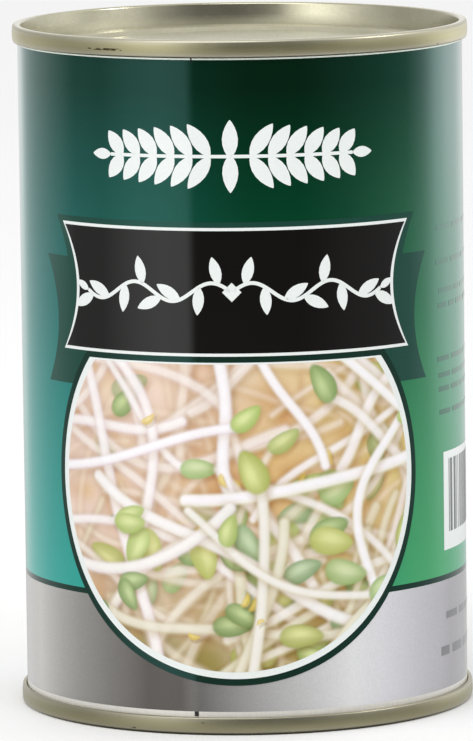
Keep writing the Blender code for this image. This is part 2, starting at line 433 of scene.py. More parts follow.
def rectangle(shape, low_s, low_z, high_s, high_z):
    """A flat rectangle on the sheet, in millimetres."""
    middle = Matrix.Translation(((low_s + high_s) / 2, (low_z + high_z) / 2, 0))
    scale = Matrix.Diagonal(((high_s - low_s) / 2, (high_z - low_z) / 2, 1, 1))
    bmesh.ops.create_grid(shape, x_segments=1, y_segments=1, size=1, matrix=middle @ scale)


def disc(shape, s, z, radius, segments, high_z):
    """A flat disc on the sheet, in millimetres, cut off straight at a height."""
    place = Matrix.Translation((s, z, 0))
    made = bmesh.ops.create_circle(shape, cap_ends=True, radius=radius, segments=segments, matrix=place)
    faces = list({face for vert in made["verts"] for face in vert.link_faces})
    edges = list({edge for face in faces for edge in face.edges})
    geom = made["verts"] + edges + faces
    bmesh.ops.bisect_plane(shape, geom=geom, plane_co=(0, high_z, 0), plane_no=(0, 1, 0), clear_outer=True)


def dished_plaque(shape, half_width, low_z, high_z, dish, steps=24):
    """A flat plaque on the sheet whose two ends curve in, in millimetres."""
    made = bmesh.ops.create_grid(shape, x_segments=1, y_segments=steps, size=1)
    for vert in made["verts"]:
        vert.co.x *= half_width - dish * (1 - vert.co.y**2)
        vert.co.y = low_z + (high_z - low_z) * (vert.co.y + 1) / 2


def leaf(shape, s, z, angle, length_mm, width_mm, segments=18):
    """A flat pointed leaf that grows from a place on the sheet in a direction, in millimetres."""
    made = bmesh.ops.create_circle(shape, cap_ends=True, radius=1, segments=segments)
    turn = Matrix.Rotation(angle, 2)
    for vert in made["verts"]:
        along = (vert.co.x + 1) / 2
        across = vert.co.y * math.sin(math.pi * along**0.8) ** 0.35
        place = turn @ Vector((along * length_mm, across * width_mm / 2))
        vert.co = (s + place.x, z + place.y, 0)


def stroke(shape, path, width_mm):
    """A flat line of even width along a path on the sheet, in millimetres."""
    outline = plate_section([Vector(point) for point in path], width_mm)
    shape.faces.new([shape.verts.new((p.x, p.y, 0)) for p in outline])


def roll_up(shape, radius, turn=0.0):
    """Rolls the flat sheet round the can: s along the wall, z up, and the third axis outwards."""
    for vert in shape.verts:
        angle = vert.co.x * MM / radius + turn
        reach = radius + vert.co.z * MM
        vert.co = (reach * math.sin(angle), -reach * math.cos(angle), vert.co.y * MM)


def strips(shape, faces):
    """Cuts flat faces into upright strips, narrow enough to follow the wall."""
    verts = {vert for face in faces for vert in face.verts}
    low = math.floor(min(vert.co.x for vert in verts) / STRIP_MM)
    high = math.ceil(max(vert.co.x for vert in verts) / STRIP_MM)
    geom = list(verts) + list({edge for face in faces for edge in face.edges}) + list(faces)
    for k in range(low + 1, high):
        place = (k * STRIP_MM, 0, 0)
        cut = bmesh.ops.bisect_plane(shape, geom=geom, dist=SHEET_WELD_MM, plane_co=place, plane_no=(1, 0, 0))
        geom = cut["geom"]


def film(name, shape, layer, material, sides=1):
    """One layer of ink, cut from the flat sheet, rolled onto the wall and repeated evenly round it."""
    scene = bpy.context.scene
    step = scene.can_label.ink_step / MM
    strips(shape, shape.faces[:])
    raised = bmesh.ops.extrude_face_region(shape, geom=shape.faces[:], use_keep_orig=True)
    top = {part for part in raised["geom"] if isinstance(part, bmesh.types.BMVert)}
    for vert in shape.verts:
        vert.co.z = (layer if vert in top else layer - INK_FILL) * step
    bmesh.ops.recalc_face_normals(shape, faces=shape.faces)
    roll_up(shape, wall_radius(scene.can_sizes))
    whole = shape.verts[:] + shape.edges[:] + shape.faces[:]
    for k in range(1, sides):
        copy = bmesh.ops.duplicate(shape, geom=whole)
        moved = [part for part in copy["geom"] if isinstance(part, bmesh.types.BMVert)]
        matrix = Matrix.Rotation(math.tau * k / sides, 3, "Z")
        bmesh.ops.rotate(shape, cent=(0, 0, 0), matrix=matrix, verts=moved)
    finish_piece(name, shape, [material])


def new_material(name):
    """An empty material with its Principled shader."""
    material = bpy.data.materials.new(name)
    material.use_nodes = True
    return material, material.node_tree, material.node_tree.nodes["Principled BSDF"]


def add(tree, kind, *values, out=0, stops=(), inputs=None, **settings):
    """Adds a node with its settings, fills its inputs with values or links, and gives one of its outputs.

    The values go into the first inputs, in order, and the others are named or numbered. A colour ramp has stops.
    """
    node = tree.nodes.new("ShaderNode" + kind)
    for key, value in settings.items():
        setattr(node, key, value)
    while stops and len(node.color_ramp.elements) < len(stops):
        node.color_ramp.elements.new(0.5)
    for index, (place, colour) in enumerate(stops):
        node.color_ramp.elements[index].position = place
        node.color_ramp.elements[index].color = colour
    for key, value in (dict(enumerate(values)) | (inputs or {})).items():
        if isinstance(value, bpy.types.NodeSocket):
            tree.links.new(value, node.inputs[key])
        else:
            node.inputs[key].default_value = value
    return node.outputs[out]


def greys(levels):
    """The stops of a colour ramp that holds plain levels."""
    return [(place, (level, level, level, 1)) for place, level in levels]


def colours(codes):
    """The stops of a colour ramp of sRGB hex colours."""
    return [(place, srgb(code)) for place, code in codes]


def round_and_up(tree):
    """The Object coordinates, the angle round the can's axis from its front, in radians, and the height."""
    coords = add(tree, "TexCoord", out="Object")
    split = add(tree, "SeparateXYZ", coords).node.outputs
    back = add(tree, "Math", split["Y"], -1.0, operation="MULTIPLY")
    angle = add(tree, "Math", split["X"], back, operation="ARCTAN2")
    return coords, angle, split["Z"]


def apart(tree, value, other):
    """How far one value is from another, either way."""
    gap = add(tree, "Math", value, other, operation="SUBTRACT")
    return add(tree, "Math", gap, operation="ABSOLUTE")


def panel_place(tree, angle, sizes, label):
    """Where a spot lies across its panel, from 0 to 1. The wall has a front and a back panel, printed alike."""
    period = math.pi * wall_radius(sizes)
    along = add(tree, "Math", angle, wall_radius(sizes), operation="MULTIPLY")
    from_centre = add(tree, "Math", along, label.centre, operation="SUBTRACT")
    wrapped = add(tree, "Math", from_centre, -period / 2, period / 2, operation="WRAP")
    return add(tree, "Math", wrapped, 1 / period, 0.5, operation="MULTIPLY_ADD")


def blotches(tree, coords, grain_mm, detail=2.0, stretch=(1.0, 1.0, 1.0)):
    """Soft blotches of about that size in millimetres, longer along an axis where the stretch is under 1."""
    drawn_out = add(tree, "Mapping", coords, inputs={"Scale": stretch})
    return add(tree, "TexNoise", drawn_out, out="Fac", inputs={"Scale": 1 / (grain_mm * MM), "Detail": detail})


def mottled(tree, colour, coords, grain_mm, depth, stretch=(1.0, 1.0, 1.0)):
    """The colour with a fine grain that lightens and darkens it."""
    grain = blotches(tree, coords, grain_mm, 2.0, stretch)
    level = add(tree, "Math", grain, depth, 1 - depth / 2, operation="MULTIPLY_ADD")
    return add(tree, "VectorMath", colour, inputs={"Scale": level}, operation="SCALE")


def varnish(tree, shader, coords):
    """Gloss varnish over print: a clear gloss, a little smudged, on a plate that is not quite flat."""
    smudge = blotches(tree, coords, 9.0)
    rough = add(tree, "Math", smudge, 0.08, 0.05, operation="MULTIPLY_ADD")
    tree.links.new(rough, shader.inputs["Roughness"])
    wave = blotches(tree, coords, 14.0, 1.0)
    bump = add(tree, "Bump", inputs={"Height": wave, "Distance": 0.02 * MM, "Strength": 0.5})
    tree.links.new(bump, shader.inputs["Normal"])


def green_litho_material(sizes, label):
    """Green litho ink under gloss varnish, printed on tinplate.

    It is darkest at the top and in the middle of a panel, opens downwards to teal on the left and leaf green on the
    right, and is mixed with pale teal towards the can's sides as a painted highlight. The ink is clear enough to tint
    the gloss.
    """
    material, tree, shader = new_material("green_litho_ink")
    coords, angle, up = round_and_up(tree)
    place = panel_place(tree, angle, sizes, label)
    height = add(tree, "Math", up, sizes.height, operation="DIVIDE")
    green, left, right = (
        add(tree, "ValToRGB", height, stops=colours(shade)) for shade in (GREEN_MIDDLE, GREEN_LEFT, GREEN_RIGHT)
    )
    for shade, levels in ((left, GREEN_LEFT_SHARE), (right, GREEN_RIGHT_SHARE)):
        share = add(tree, "ValToRGB", place, stops=greys(levels))
        green = add(tree, "Mix", share, out=2, inputs={6: green, 7: shade}, data_type="RGBA")
    # Painted highlight: pale teal mixed in towards the can's sides, where two panels meet
    pale = add(tree, "MapRange", apart(tree, place, 0.5), SIDE_HIGHLIGHT_FROM, SIDE_HIGHLIGHT_TO, 0.0, SIDE_HIGHLIGHT_SHARE)
    green = add(tree, "Mix", pale, out=2, inputs={6: green, 7: srgb("#7df0ea")}, data_type="RGBA")
    tree.links.new(mottled(tree, green, coords, 0.3, 0.12), shader.inputs["Base Color"])
    shader.inputs["Specular Tint"].default_value = GREEN_GLOSS
    varnish(tree, shader, coords)
    return material


def silver_litho_material(sizes, label):
    """Metallic grey litho ink under gloss varnish, with a painted reflection across the panel and the sparkle of its
    flakes.
    """
    material, tree, shader = new_material("silver_litho_ink")
    coords, angle, _ = round_and_up(tree)
    place = panel_place(tree, angle, sizes, label)
    # Painted reflection: the ramp's pale, dark and bright parts stand in for the room mirrored in the band
    silver = add(tree, "ValToRGB", place, stops=colours(SILVER_WITH_PAINTED_REFLECTION))
    tree.links.new(mottled(tree, silver, coords, 0.2, 0.3, (1.0, 1.0, 0.6)), shader.inputs["Base Color"])
    shader.inputs["Metallic"].default_value = 0.25
    varnish(tree, shader, coords)
    return material


def gold_lacquer_material(name, sizes, rolled_flat="#aaa47c", sheen_and_wear_pale="#bdb9a6"):
    """Tinplate under baked gold food lacquer: a tinned steel sheet whose clear amber coat is rubbed thin in places.

    The press leaves fine rings, the rolling leaves a faint straight grain, the seaming rolls dull the outside of the
    seam, its edges are paler with wear and a painted highlight on their bends, and the seaming chuck scuffs the foot of
    the wall inside it.
    """
    material, tree, shader = new_material(name)
    coords, angle, up = round_and_up(tree)
    split = add(tree, "SeparateXYZ", coords).node.outputs
    flat = add(tree, "CombineXYZ", split["X"], split["Y"])
    reach = add(tree, "VectorMath", flat, out="Value", operation="LENGTH")
    rolled = blotches(tree, coords, 0.5, 3.0, (1.0, 0.06, 1.0))
    cloud = blotches(tree, coords, 6.0, 3.0)
    thin = add(tree, "Math", cloud, 0.6, 0.15, operation="MULTIPLY_ADD", use_clamp=True)
    gold = add(tree, "Mix", thin, out=2, inputs={6: srgb("#aeab90"), 7: srgb("#cdc9b6")}, data_type="RGBA")
    shade = add(tree, "Math", rolled, 0.16, 0.92, operation="MULTIPLY_ADD")
    gold = add(tree, "VectorMath", gold, inputs={"Scale": shade}, operation="SCALE")

    # The seam turns paler towards its edges: wear of the lacquer, and a painted highlight on the bends
    on_seam = add(tree, "Math", reach, sizes.seam_radius - SEAM_SKIN, operation="GREATER_THAN")
    from_middle = apart(tree, up, sizes.height / 2)
    off_seam = apart(tree, from_middle, (sizes.height - sizes.seam_length) / 2)
    edge_sheen_and_wear = add(tree, "MapRange", off_seam, *SEAM_SHEEN_AND_WEAR)
    seam = add(tree, "Mix", edge_sheen_and_wear, out=2, inputs={6: srgb(rolled_flat), 7: srgb(sheen_and_wear_pale)}, data_type="RGBA")
    share = add(tree, "Math", on_seam, 0.75, operation="MULTIPLY")
    gold = add(tree, "Mix", share, out=2, inputs={6: gold, 7: seam}, data_type="RGBA")

    # They also rub off small flecks and tear one longer scrape, where the steel shows dark
    fleck = blotches(tree, coords, 2.2, 4.0, (1.0, 1.0, 3.2))
    fleck = add(tree, "Math", fleck, 0.72, operation="GREATER_THAN")
    torn = blotches(tree, coords, 0.9, 3.0, (1.0, 1.0, 4.0))
    torn = add(tree, "Math", torn, 0.44, operation="GREATER_THAN")
    beside = add(tree, "Math", angle, SCRAPE_ANGLE, SCRAPE_HALF_ANGLE, operation="COMPARE")
    level = add(tree, "Math", up, sizes.height - SCRAPE_DEPTH, SCRAPE_HALF_HEIGHT, operation="COMPARE")
    scrape = add(tree, "Math", beside, level, operation="MULTIPLY")
    scrape = add(tree, "Math", scrape, torn, operation="MULTIPLY")
    rubbed = add(tree, "Math", fleck, scrape, operation="MAXIMUM")
    rubbed = add(tree, "Math", rubbed, on_seam, operation="MULTIPLY")
    gold = add(tree, "Mix", rubbed, out=2, inputs={6: gold, 7: srgb("#4b4530")}, data_type="RGBA")
    tree.links.new(gold, shader.inputs["Base Color"])
    shader.inputs["Metallic"].default_value = 1.0

    # The centre panel and the seam are duller than the rest, and the chuck wall is scuffed down to its foot
    on_panel = add(tree, "Math", reach, sizes.panel_radius, operation="LESS_THAN")
    rough = add(tree, "Math", cloud, 0.10, 0.17, operation="MULTIPLY_ADD")
    rough = add(tree, "Math", on_panel, 0.2, rough, operation="MULTIPLY_ADD")
    scuff_ends = (sizes.height / 2 - depth for depth in SCUFF_DEPTHS)
    scuff = add(tree, "MapRange", from_middle, *scuff_ends)
    inside = add(tree, "Math", 1.0, on_seam, operation="SUBTRACT")
    inside = add(tree, "Math", inside, on_panel, operation="SUBTRACT")
    scuff = add(tree, "Math", scuff, inside, operation="MULTIPLY")
    rough = add(tree, "Math", scuff, 0.28, rough, operation="MULTIPLY_ADD")
    rough = add(tree, "Math", on_seam, 0.16, rough, operation="MULTIPLY_ADD")
    tree.links.new(rough, shader.inputs["Roughness"])

    grain = {"W": reach, "Scale": 1 / (0.35 * MM), "Detail": 2.0}
    rings = add(tree, "TexNoise", out="Fac", inputs=grain, noise_dimensions="1D")
    relief = add(tree, "Math", rolled, 0.5, operation="MULTIPLY")
    relief = add(tree, "Math", rings, 0.5, relief, operation="MULTIPLY_ADD")
    bump = add(tree, "Bump", inputs={"Height": relief, "Distance": 0.008 * MM, "Strength": 0.6})
    tree.links.new(bump, shader.inputs["Normal"])
    return material


def ink_material(name, colour, roughness=0.08, grain=0.10, tint=(1, 1, 1, 1)):
    """Litho ink under gloss varnish: even colour with the faint mottle that a printing blanket leaves."""
    material, tree, shader = new_material(name)
    coords = add(tree, "TexCoord", out="Object")
    tree.links.new(mottled(tree, tuple(colour), coords, 0.35, grain), shader.inputs["Base Color"])
    shader.inputs["Roughness"].default_value = roughness
    shader.inputs["Specular Tint"].default_value = tint
    return material


def picture_material():
    """The halftone picture under gloss varnish: its colour is in the piece's own attribute."""
    material, tree, shader = new_material("halftone_picture")
    picture = add(tree, "Attribute", out="Color", attribute_name="ink")
    coords = add(tree, "TexCoord", out="Object")
    tree.links.new(mottled(tree, picture, coords, 0.3, 0.08), shader.inputs["Base Color"])
    shader.inputs["Roughness"].default_value = 0.08
    return material


def bare_metal_material(name, code, roughness, metallic):
    """Bare tinplate: bright rolled tin with a fine straight grain."""
    material, tree, shader = new_material(name)
    coords = add(tree, "TexCoord", out="Object")
    tree.links.new(mottled(tree, srgb(code)[:3], coords, 0.4, 0.2, (1.0, 1.0, 0.1)), shader.inputs["Base Color"])
    shader.inputs["Metallic"].default_value = metallic
    shader.inputs["Roughness"].default_value = roughness
    return material


class Heap:
    """A heap of bean sprouts, painted back to front at given places of the window, in millimetres from its centre.

    It is a drawing, so its sizes are the painter's own. Tier 0 is the blurred bottom of the heap and tier 1 its top.
    """

    def __init__(self, places, seed):
        """Takes the places to paint and the seed of every random draw."""
        self.places = places
        self.draw = random.Random(seed)
        self.colours = self.ground()

    def hue(self, code):
        """A colour as an array."""
        return np.array(srgb(code)[:3])

    def between(self, first, second, share):
        """A colour between two others."""
        return self.hue(first) * (1 - share) + self.hue(second) * share

    def zone(self, s, z):
        """How far right and how far down a spot lies, each from 0 to 1."""
        return np.clip((s + 14 - z * 0.25) / 30, 0, 1), np.clip((-z - 8) / 20, 0, 1)

    def ground(self):
        """The blurred bottom of the heap: pink on the left, straw on the right, brown in its heart and at its foot."""
        right, down = (share[:, None] for share in self.zone(*self.places.T))
        colour = self.hue("#e6cdbf") * (1 - right) + self.hue("#e2cc88") * right
        colour = colour * (1 - down) + self.hue("#97894a") * down
        heart = np.exp(-(((self.places - np.array((-1.0, -1.0))) / np.array((13.0, 11.0))) ** 2).sum(axis=1))[:, None]
        colour += (self.hue("#cf9a5e") - colour) * heart * 0.75
        tones = ("#c98d4e", "#f3dcc8", "#e3bf7c", "#b67c45", "#f0dfc4", "#e8c9a8")
        for _ in range(240):
            centre = np.array((self.draw.uniform(-31, 31), self.draw.uniform(-31, 20)))
            spread = np.array((self.draw.uniform(0.6, 3.4), self.draw.uniform(0.6, 3.4)))
            near = np.exp(-(((self.places - centre) / spread) ** 2).sum(axis=1))[:, None]
            tone = self.hue(self.draw.choice(tones))
            colour += (tone - colour) * near * self.draw.uniform(0.2, 0.55) * (1 - 0.5 * down)
        return colour

    def near(self, low, high, margin):
        """The numbers of the places within a margin of a box."""
        inside = (self.places > np.array(low) - margin) & (self.places < np.array(high) + margin)
        return np.nonzero(inside.all(axis=1))[0]

    def reach(self, spots, path, limit):
        """Each spot's distance to a path, with the unit vector from the path to it, for spots within a limit."""
        least = np.full(len(spots), 2 * limit)
        arrow = np.zeros_like(spots)
        for start, end in zip(path, path[1:]):
            run = end - start
            span = np.abs(spots - (start + end) / 2).max(axis=1)
            close = np.nonzero(span < limit + np.hypot(*run) / 2)[0]
            share = np.clip(((spots[close] - start) @ run) / (run @ run), 0, 1)[:, None]
            gap = spots[close] - start - share * run
            distance = np.hypot(gap[:, 0], gap[:, 1])
            closer = distance < least[close]
            least[close[closer]] = distance[closer]
            arrow[close[closer]] = gap[closer]
        return least, arrow / np.maximum(least, 1e-6)[:, None]

    def stem(self, path, width, core, edge, soft, cover, depth):
        """Paints one stem, round in section and lit from the upper left, over the shadow that it casts."""
        near = self.near(path.min(axis=0), path.max(axis=0), 3.0)
        spots, colours = self.places[near], self.colours[near]
        distance, away = self.reach(spots, path, 3.0)
        half = width / 2
        below = away @ np.array((0.5, -0.85))
        cast = np.maximum(distance - 0.55 * np.clip(below, 0, 1) - width * 0.35, 0)
        colours *= 1 - depth * np.exp(-((cast / (0.5 * width)) ** 2))[:, None] * STEM_SHADOW
        inside = np.clip((half + soft - distance) / (2 * soft), 0, 1)[:, None] * cover
        crown = np.clip(1 - (distance / half) ** 2, 0, 1)[:, None] ** 0.8
        lit = ((away @ np.array((-0.6, 0.8))) * np.clip(distance / half, 0, 1))[:, None]
        colour = edge + (core - edge) * np.clip(0.2 + 0.85 * crown + 0.25 * lit, 0, 1.1)
        self.colours[near] = colours + (colour - colours) * inside

    def leaf_places(self, local, size, width, bow):
        """Where spots lie along and across a bowed leaf, and how far out, with its outline at 1."""
        along = local[:, 0] / (size / 2)
        taper = 1 - 0.25 * np.clip(along, -1, 1)
        across = (local[:, 1] - bow * (along**2 - 0.4)) / (width / 2 * taper)
        return along, across, np.sqrt(along**2 + across**2)

    def leaf(self, centre, angle, size, width, bow, light, dark, soft, cover):
        """Paints one plump seed leaf with a lit flank, over its shadow."""
        near = self.near(centre, centre, size)
        spots, colours = self.places[near] - centre, self.colours[near]
        cos, sin = math.cos(angle), math.sin(angle)
        turn = np.array(((cos, -sin), (sin, cos)))
        shadow = self.leaf_places((spots - np.array((0.35, -0.5))) @ turn, size, width, bow)[2]
        colours *= 1 - 0.35 * np.clip((1.3 - shadow) / 0.5, 0, 1)[:, None] * LEAF_SHADOW
        along, across, radius = self.leaf_places(spots @ turn, size, width, bow)
        inside = np.clip((1 - radius) / soft + 0.5, 0, 1)[:, None] * cover
        flank = np.exp(-(((along + 0.1) / 0.7) ** 2 + ((across - 0.3) / 0.5) ** 2))[:, None]
        rib = np.exp(-((across / 0.14) ** 2))[:, None] * 0.07
        share = np.clip(1 - radius**2, 0, 1)[:, None] * 0.35 + flank * 0.6 + rib
        colour = dark + (light - dark) * np.clip(share, 0, 1)
        self.colours[near] = colours + (colour - colours) * inside

    def route(self, reach_mm, steps=20):
        """A random curved path of that length, somewhere in the window."""
        draw = self.draw
        heading = draw.uniform(0, math.tau)
        curl = draw.choice((-1, 1)) * draw.uniform(0.1, 1.1) * reach_mm / 30
        sway = draw.uniform(-0.35, 0.35)
        points = [np.zeros(2)]
        for k in range(steps):
            share = k / steps
            way = heading + curl * share**1.3 + sway * math.sin(share * math.tau)
            points.append(points[-1] + np.array((math.cos(way), math.sin(way))) * reach_mm / steps)
        path = np.array(points)
        return path - (path[0] + path[-1]) / 2 + np.array((draw.uniform(-31, 31), draw.uniform(-31, 23)))

    def sprout(self, tier, stem_mm, leaf_mm, leafy):
        """Paints one sprout. The low ones are warm and blurred, and the top ones white and crisp."""
        draw = self.draw
        path = self.route(draw.uniform(20, 46) + 10 * tier)
        right, down = self.zone(*path[len(path) // 2])
        core = self.between("#eddac4", "#fbf8fb", tier)
        core = core * (1 - 0.65 * down) + self.hue("#dcd6ac") * 0.65 * down
        edge = self.between("#dcbb9e", "#dccbd3", tier) * (1 - right) + self.between("#d9bc7c", "#dfdabb", tier) * right
        edge = edge * (1 - 0.6 * down) + self.hue("#b9ae74") * 0.6 * down
        width = stem_mm * draw.uniform(0.75, 1.15) * (0.8 + 0.2 * tier)
        depth = (0.16 + 0.16 * tier) * (0.55 + 0.45 * max(right, down))
        self.stem(path, width, core, edge, 0.6 - 0.34 * tier, 0.45 + 0.47 * tier, depth)
        if leafy:
            self.seed_leaves(path, tier, leaf_mm, down)

    def seed_leaves(self, path, tier, leaf_mm, down):
        """Paints one or two seed leaves at the end of a path."""
        draw = self.draw
        way = path[-1] - path[-3]
        heading = math.atan2(way[1], way[0])
        for side in draw.choice(((1,), (-1,), (1, -1))):
            light, dark = (self.hue(code) for code in draw.choice(LEAF_GREENS))
            fade = 0.3 * (1 - tier)
            light = light * (1 - fade) + self.hue("#dcc79a") * fade
            dark = dark * (1 - fade) * (1 - 0.25 * down) + self.hue("#b59d68") * fade
            size = leaf_mm * draw.uniform(0.75, 1.12)
            angle = heading + side * draw.uniform(0.2, 0.7)
            centre = path[-1] + np.array((math.cos(angle), math.sin(angle))) * size * 0.4
            bow = side * draw.uniform(-0.35, 0.2)
            self.leaf(centre, angle, size, size * draw.uniform(0.48, 0.6), bow, light, dark, 0.16, 0.8 + 0.2 * tier)

    def loose_leaves(self, count, leaf_mm):
        """Paints seed leaves that have come off, most of them low in the window."""
        for _ in range(count):
            spot = np.array((self.draw.triangular(-29, 29, 2), self.draw.triangular(-30, 20, -26)))
            tip = spot + np.array((0.01, self.draw.uniform(-0.01, 0.01)))
            self.seed_leaves(np.array((spot, spot, tip)), 0.8, leaf_mm, self.zone(*spot)[1])

    def crumb(self):
        """Paints one yellow scrap of husk."""
        draw = self.draw
        centre = np.array((draw.triangular(-26, 28, 14), draw.triangular(-29, 14, -18)))
        size = draw.uniform(1.4, 3.0)
        light, dark = self.hue("#f0dc78"), self.hue("#d8b648")
        self.leaf(centre, draw.uniform(0, math.tau), size, size * 0.45, 0.3, light, dark, 0.3, 0.75)

    def paint(self, stem_mm, leaf_mm):
        """Paints the heap tier by tier, and gives the linear colour at each place."""
        for tier, count, leaf_share in HEAP_TIERS:
            for _ in range(count):
                self.sprout(tier, stem_mm, leaf_mm, self.draw.random() < leaf_share)
            self.loose_leaves(LOOSE_LEAVES, leaf_mm)
            for _ in range(CRUMBS):
                self.crumb()
        return np.clip(self.colours, 0, 1)


def window_sheet(label, picture):
    """The picture's flat sheet, a fine grid fitted to the window, closed by a coarse back. It is in millimetres."""
    radius = label.window_radius / MM
    window_z = label.window_z / MM
    top_angle = math.asin((label.window_top - label.window_z) / label.window_radius)
    shape = bmesh.new()
    bmesh.ops.create_grid(shape, x_segments=picture.columns, y_segments=picture.rows, size=1)
    for vert in shape.verts:
        angle = -math.pi / 2 + (top_angle + math.pi / 2) * (vert.co.y + 1) / 2
        half_width = radius * math.cos(angle)
        vert.co = (vert.co.x * half_width, window_z + radius * math.sin(angle), 0)
    bmesh.ops.remove_doubles(shape, verts=[v for v in shape.verts if v.is_boundary], dist=SHEET_WELD_MM)
    rim = [edge for edge in shape.edges if edge.is_boundary]
    skirt = bmesh.ops.extrude_edge_only(shape, edges=rim)
    lower = [part for part in skirt["geom"] if isinstance(part, bmesh.types.BMVert)]
    bmesh.ops.translate(shape, vec=(0, 0, SHEET_BACK), verts=lower)
    loop = [part for part in skirt["geom"] if isinstance(part, bmesh.types.BMEdge) and part.is_boundary]
    back = bmesh.ops.contextual_create(shape, geom=loop)["faces"]
    strips(shape, back)
    return shape


def garland(shape, centre, z, half_width):
    """A level stem with pairs of leaves that lean out from a middle rosette."""
    stroke(shape, [(centre - half_width, z), (centre, z), (centre + half_width, z)], 0.55)
    pairs = 6
    for side in (-1, 1):
        outwards = 0 if side > 0 else math.pi
        for k in range(pairs):
            s = centre + side * (3.2 + k * (half_width - 5.5) / (pairs - 1))
            for lean in (-1, 1):
                leaf(shape, s, z, outwards + lean * side * 0.95, 6.4 - 0.35 * k, 2.5)
        leaf(shape, centre + side * half_width, z, outwards, 3.6, 1.8)
    for up in (1, -1):
        leaf(shape, centre, z - 0.3 * up, up * math.pi / 2, 6.2, 2.6)


def vine(shape, centre, z, half_width, sway=1.5, wave=13.0):
    """A waving stem with a leaf on each side in turn, that grows from the middle towards both ends."""
    steps, leaves = 60, 8
    for side in (-1, 1):
        outwards = 0 if side > 0 else math.pi
        path = []
        for k in range(steps + 1):
            out = half_width * k / steps
            path.append(Vector((centre + side * out, z + sway * math.sin(math.tau * out / wave))))
        stroke(shape, path, 0.6)
        for k in range(1, leaves + 1):
            out = half_width * (k - 0.35) / leaves
            turn = math.tau * out / wave
            lean = math.atan(sway * math.tau / wave * math.cos(turn)) + (0.95 if k % 2 else -0.95)
            leaf(shape, centre + side * out, z + sway * math.sin(turn), outwards + side * lean, 4.6, 1.9)
        leaf(shape, path[-1].x, path[-1].y, outwards + side * 0.5, 2.8, 1.3)


def lozenge(shape, s, z, reach):
    """A small diamond."""
    turn = Matrix.Translation((s, z, 0)) @ Matrix.Rotation(math.pi / 4, 4, "Z")
    bmesh.ops.create_grid(shape, x_segments=1, y_segments=1, size=reach, matrix=turn)


def row_of_bars(shape, draw, start, end, z, tall, widths, gap):
    """A row of plain bars of random widths round a height on the sheet, in millimetres."""
    while start < end - SHORTEST_BAR:
        stop = min(start + draw.uniform(*widths), end)
        rectangle(shape, start, z - tall / 2, stop, z + tall / 2)
        start = stop + gap


class FOODCAN_OT_body(bpy.types.Operator):
    """Makes the printed wall with its two hooks"""

    bl_idname = "foodcan.body"
    bl_label = "Can Body"

    def execute(self, context):
        sizes = context.scene.can_sizes
        label, inks = context.scene.can_label, context.scene.can_inks
        shape = turned(body_section(sizes), False, sizes.facets)
        # From the foot up, and then the inside. The foot's bare strip is greyer than the head's, which is a painted
        # highlight: near white and little metallic, for the bend under the upper seam
        materials = (
            bare_metal_material("unprinted_tinplate", "#dfdcd5", 0.3, 0.25),
            silver_litho_material(sizes, label),
            ink_material("border_ink", inks.border, tint=GREEN_GLOSS),
            green_litho_material(sizes, label),
            # Painted highlight on the head's bare strip, under the upper seam
            bare_metal_material("painted_highlight_tinplate", "#f3fbf1", 0.3, 0.12),
            gold_lacquer_material("inner_lacquer", sizes),
        )
        edges = (label.lower_margin, label.silver_top, label.line_top, label.upper_margin)
        for height in edges:
            whole = shape.verts[:] + shape.edges[:] + shape.faces[:]
            bmesh.ops.bisect_plane(shape, geom=whole, dist=WELD_DISTANCE, plane_co=(0, 0, height), plane_no=(0, 0, 1))
        middle_of_plate = wall_radius(sizes) - sizes.body_plate / 2
        for face in shape.faces:
            spot = face.calc_center_median()
            is_inside = spot.xy.length < middle_of_plate
            face.material_index = len(edges) + 1 if is_inside else sum(spot.z > height for height in edges)
        finish_piece("can_wall", shape, materials, "can_body")
        return {"FINISHED"}


class FOODCAN_OT_ends(bpy.types.Operator):
    """Makes the two pressed ends, seamed onto the body"""

    bl_idname = "foodcan.ends"
    bl_label = "Can Ends"

    def execute(self, context):
        sizes = context.scene.can_sizes
        # The lower seam's colours are darker: painted shade, for the shadow at the can's foot
        upper = gold_lacquer_material("gold_lacquered_tinplate", sizes)
        # Painted shade in the lower end's darker seam colours
        lower = gold_lacquer_material("gold_lacquered_tinplate_lower", sizes, "#8f8a68", "#9c9785")
        for name, node, material in (("upper_end", "top_end", upper), ("lower_end", "bottom_end", lower)):
            shape = turned(end_section(sizes), True, sizes.facets)
            if node == "top_end":
                bmesh.ops.translate(shape, vec=(0, 0, sizes.height), verts=shape.verts)
            else:
                bmesh.ops.rotate(shape, cent=(0, 0, 0), matrix=Matrix.Rotation(math.pi, 3, "X"), verts=shape.verts)
            finish_piece(name, shape, [material], node)
        return {"FINISHED"}


class FOODCAN_OT_inside(bpy.types.Operator):
    """Finishes the pieces that the seams and the wall hide: the sealing compound and the food"""

    bl_idname = "foodcan.inside"
    bl_label = "Sealing Compound and Food"

    def execute(self, context):
        # Dried rubber is a dull grey, and wet sprouts are straw coloured, mottled and softly shiny
        compound = ink_material("sealing_compound", srgb("#8f8d84")[:3], 0.7, 0.3)
        food = ink_material("wet_sprouts", srgb("#d9cf9f")[:3], 0.35, 0.6)
        finishes = {
            "top_sealing_ring": compound,
            "bottom_sealing_ring": compound,
            "sprouts_in_brine": food,
        }
        for node, material in finishes.items():
            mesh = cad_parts[node].data
            mesh.materials.clear()
            mesh.materials.append(material)
        return {"FINISHED"}


